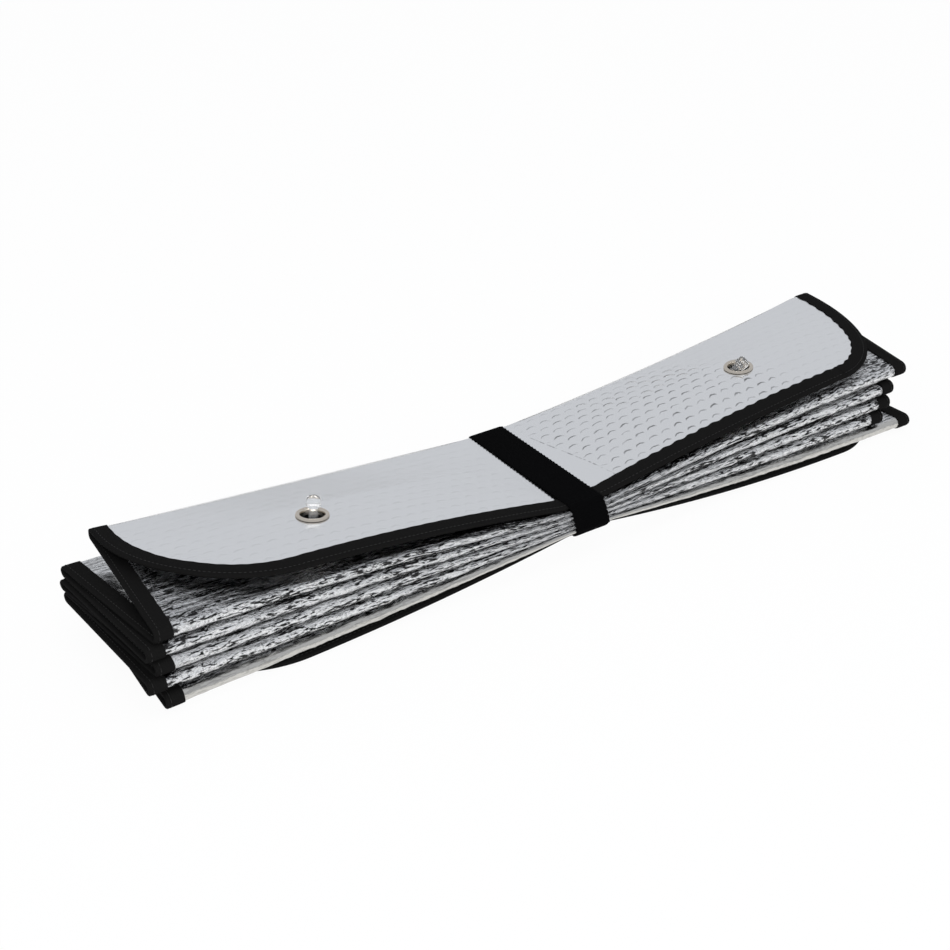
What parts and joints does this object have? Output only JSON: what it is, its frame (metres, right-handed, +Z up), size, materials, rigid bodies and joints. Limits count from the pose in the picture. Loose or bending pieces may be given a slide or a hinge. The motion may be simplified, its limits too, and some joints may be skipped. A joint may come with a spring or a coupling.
{
  "type": "windscreen sunshade",
  "caption": "Foil bubble-film windscreen sunshade, folded like a concertina and held by an elastic strap, with black edge tape and clear suction cups standing in eyelets.",
  "frame": {"origin": "middle of the folded pack's footprint, at the level it lies on", "axes": "+X along the folded pack, towards the end whose suction cup lies over; +Y towards the folds at the back, away from the free edges; +Z up"},
  "size_m": [0.6094, 0.121, 0.0708],
  "materials": {
    "foil": "crumpled aluminised film",
    "black_tape": "matt woven tape",
    "black_elastic": "ribbed elastic",
    "nickel": "nickel plated",
    "clear_plastic": "clear and soft"
  },
  "bodies": {
    "root": {"foil_sheet": "foil", "edge_binding": "black_tape", "elastic_strap": "black_elastic", "eyelet_left": "nickel", "eyelet_right": "nickel", "washer_left": "nickel", "washer_right": "nickel", "suction_cup_left": "clear_plastic", "suction_cup_right": "clear_plastic"}
  },
  "joints": []
}
